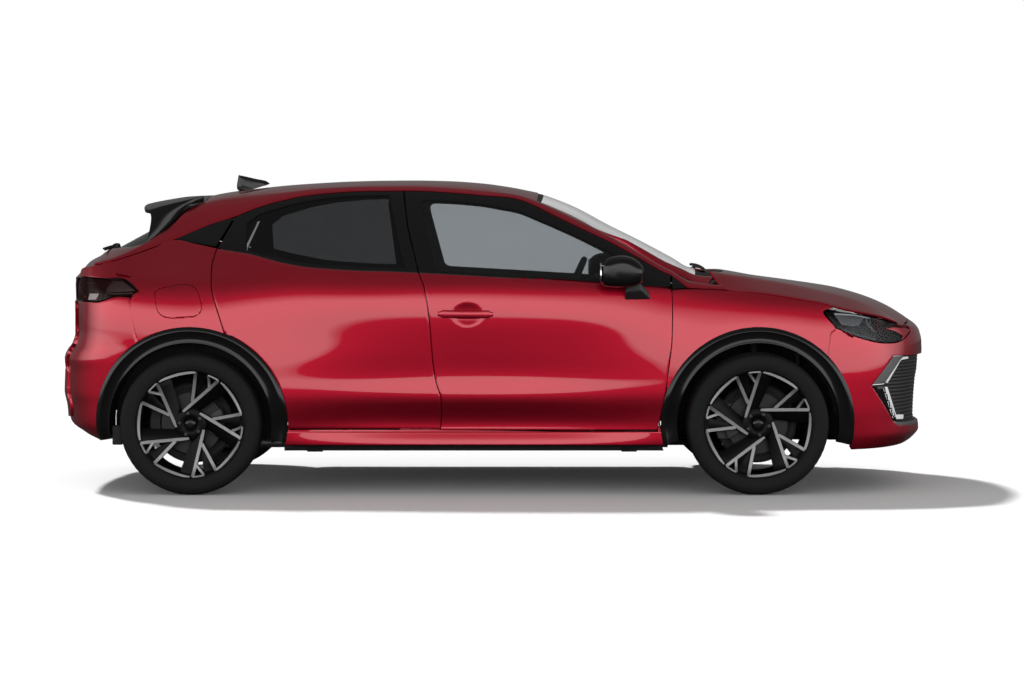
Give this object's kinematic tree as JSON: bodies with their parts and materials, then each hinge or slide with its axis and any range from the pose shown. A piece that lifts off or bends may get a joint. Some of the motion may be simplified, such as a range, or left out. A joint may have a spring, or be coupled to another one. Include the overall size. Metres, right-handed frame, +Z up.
{
  "type": "hatchback car",
  "caption": "Compact five-door hatchback car with opening doors, hood, tailgate and fuel flap, rolling wheels and coupled steering.",
  "frame": {"origin": "on the ground, under the middle of the car's box", "axes": "+X forward, +Y to the car's left, +Z up"},
  "size_m": [4.12, 1.98, 1.48],
  "materials": {
    "body_paint": "gloss metallic red",
    "black_gloss": "gloss black",
    "black_matte": "grained black",
    "clear_glass": "clear tinted",
    "dark_glass": "privacy tint",
    "lamp_glass": "clear lens",
    "tail_lamp": "smoked red lens",
    "tyre": "moulded rubber",
    "rim": "machined and gloss black",
    "brake_disc": "ground",
    "chassis": "black coated",
    "cabin_plastic": "soft grained",
    "seat_fabric": "woven dark grey",
    "engine": "cast",
    "exhaust": "dull"
  },
  "bodies": {
    "body": {"body_shell": "body_paint", "roof_panel": "body_paint", "fenders": "body_paint", "front_bumper": "body_paint", "grille": "black_matte", "rear_bumper": "body_paint", "windscreen": "clear_glass", "cowl_panel": "black_matte", "headlamps": "lamp_glass", "tail_lamps": "tail_lamp", "arch_trims": "black_gloss", "quarter_panes": "black_gloss", "roof_antenna": "black_gloss", "rear_axle": "chassis", "front_suspension": "chassis", "dashboard": "cabin_plastic", "front_seats": "seat_fabric", "rear_bench": "seat_fabric", "engine": "engine", "exhaust": "exhaust"},
    "hood_lid": {"hood": "body_paint"},
    "tailgate_lid": {"tailgate": "body_paint", "tailgate_glass": "dark_glass", "spoiler": "black_gloss", "rear_wiper": "black_matte"},
    "fuel_lid": {"fuel_flap": "body_paint"},
    "steering": {"steering_wheel": "cabin_plastic"},
    "front_door_right": {"door_front_right": "body_paint", "door_glass_front_right": "clear_glass", "mirror_right": "black_gloss"},
    "rear_door_right": {"door_rear_right": "body_paint", "door_glass_rear_right": "dark_glass"},
    "upright_right": {"knuckle_front_right": "chassis"},
    "wheel_front_right": {"tyre_front_right": "tyre", "rim_front_right": "rim", "brake_disc_front_right": "brake_disc"},
    "wheel_rear_right": {"tyre_rear_right": "tyre", "rim_rear_right": "rim", "brake_disc_rear_right": "brake_disc"},
    "front_door_left": {"door_front_left": "body_paint", "door_glass_front_left": "clear_glass", "mirror_left": "black_gloss"},
    "rear_door_left": {"door_rear_left": "body_paint", "door_glass_rear_left": "dark_glass"},
    "upright_left": {"knuckle_front_left": "chassis"},
    "wheel_front_left": {"tyre_front_left": "tyre", "rim_front_left": "rim", "brake_disc_front_left": "brake_disc"},
    "wheel_rear_left": {"tyre_rear_left": "tyre", "rim_rear_left": "rim", "brake_disc_rear_left": "brake_disc"}
  },
  "joints": [
    {"name": "steer_right", "type": "hinge", "parent": "body", "child": "upright_right", "pos_m": [1.207, -0.725, 0.325], "axis": [0, 0, 1], "range_deg": [-35, 35]},
    {"name": "spin_front_right", "type": "hinge", "parent": "upright_right", "child": "wheel_front_right", "pos_m": [1.207, -0.765, 0.325], "axis": [0, 1, 0], "continuous": true},
    {"name": "spin_rear_right", "type": "hinge", "parent": "body", "child": "wheel_rear_right", "pos_m": [-1.384, -0.765, 0.325], "axis": [0, 1, 0], "continuous": true},
    {"name": "open_front_door_right", "type": "hinge", "parent": "body", "child": "front_door_right", "pos_m": [0.7, -0.858, 0.6], "axis": [0, 0, 1], "range_deg": [0, 65]},
    {"name": "open_rear_door_right", "type": "hinge", "parent": "body", "child": "rear_door_right", "pos_m": [-0.262, -0.858, 0.6], "axis": [0, 0, 1], "range_deg": [0, 68]},
    {"name": "steer_left", "type": "hinge", "parent": "body", "child": "upright_left", "pos_m": [1.207, 0.725, 0.325], "axis": [0, 0, 1], "range_deg": [-35, 35]},
    {"name": "spin_front_left", "type": "hinge", "parent": "upright_left", "child": "wheel_front_left", "pos_m": [1.207, 0.765, 0.325], "axis": [0, 1, 0], "continuous": true},
    {"name": "spin_rear_left", "type": "hinge", "parent": "body", "child": "wheel_rear_left", "pos_m": [-1.384, 0.765, 0.325], "axis": [0, 1, 0], "continuous": true},
    {"name": "open_front_door_left", "type": "hinge", "parent": "body", "child": "front_door_left", "pos_m": [0.7, 0.858, 0.6], "axis": [0, 0, 1], "range_deg": [-65, 0]},
    {"name": "open_rear_door_left", "type": "hinge", "parent": "body", "child": "rear_door_left", "pos_m": [-0.262, 0.858, 0.6], "axis": [0, 0, 1], "range_deg": [-68, 0]},
    {"name": "turn_steering_wheel", "type": "hinge", "parent": "body", "child": "steering", "pos_m": [0.37, 0.35, 0.9], "axis": [-0.9135, 0, 0.4067], "range_deg": [-526, 526]},
    {"name": "open_hood", "type": "hinge", "parent": "body", "child": "hood_lid", "pos_m": [1.008, 0, 1.016], "axis": [0, -1, 0], "range_deg": [0, 55]},
    {"name": "open_tailgate", "type": "hinge", "parent": "body", "child": "tailgate_lid", "pos_m": [-1.351, 0, 1.377], "axis": [0, 1, 0], "range_deg": [0, 72]},
    {"name": "open_fuel_flap", "type": "hinge", "parent": "body", "child": "fuel_lid", "pos_m": [-1.354, -0.863, 0.885], "axis": [0, 0, 1], "range_deg": [0, 85]}
  ],
  "couplings": [
    {"joint": "steer_left", "follows": "steer_right", "ratio": 1},
    {"joint": "turn_steering_wheel", "follows": "steer_right", "ratio": 15}
  ]
}
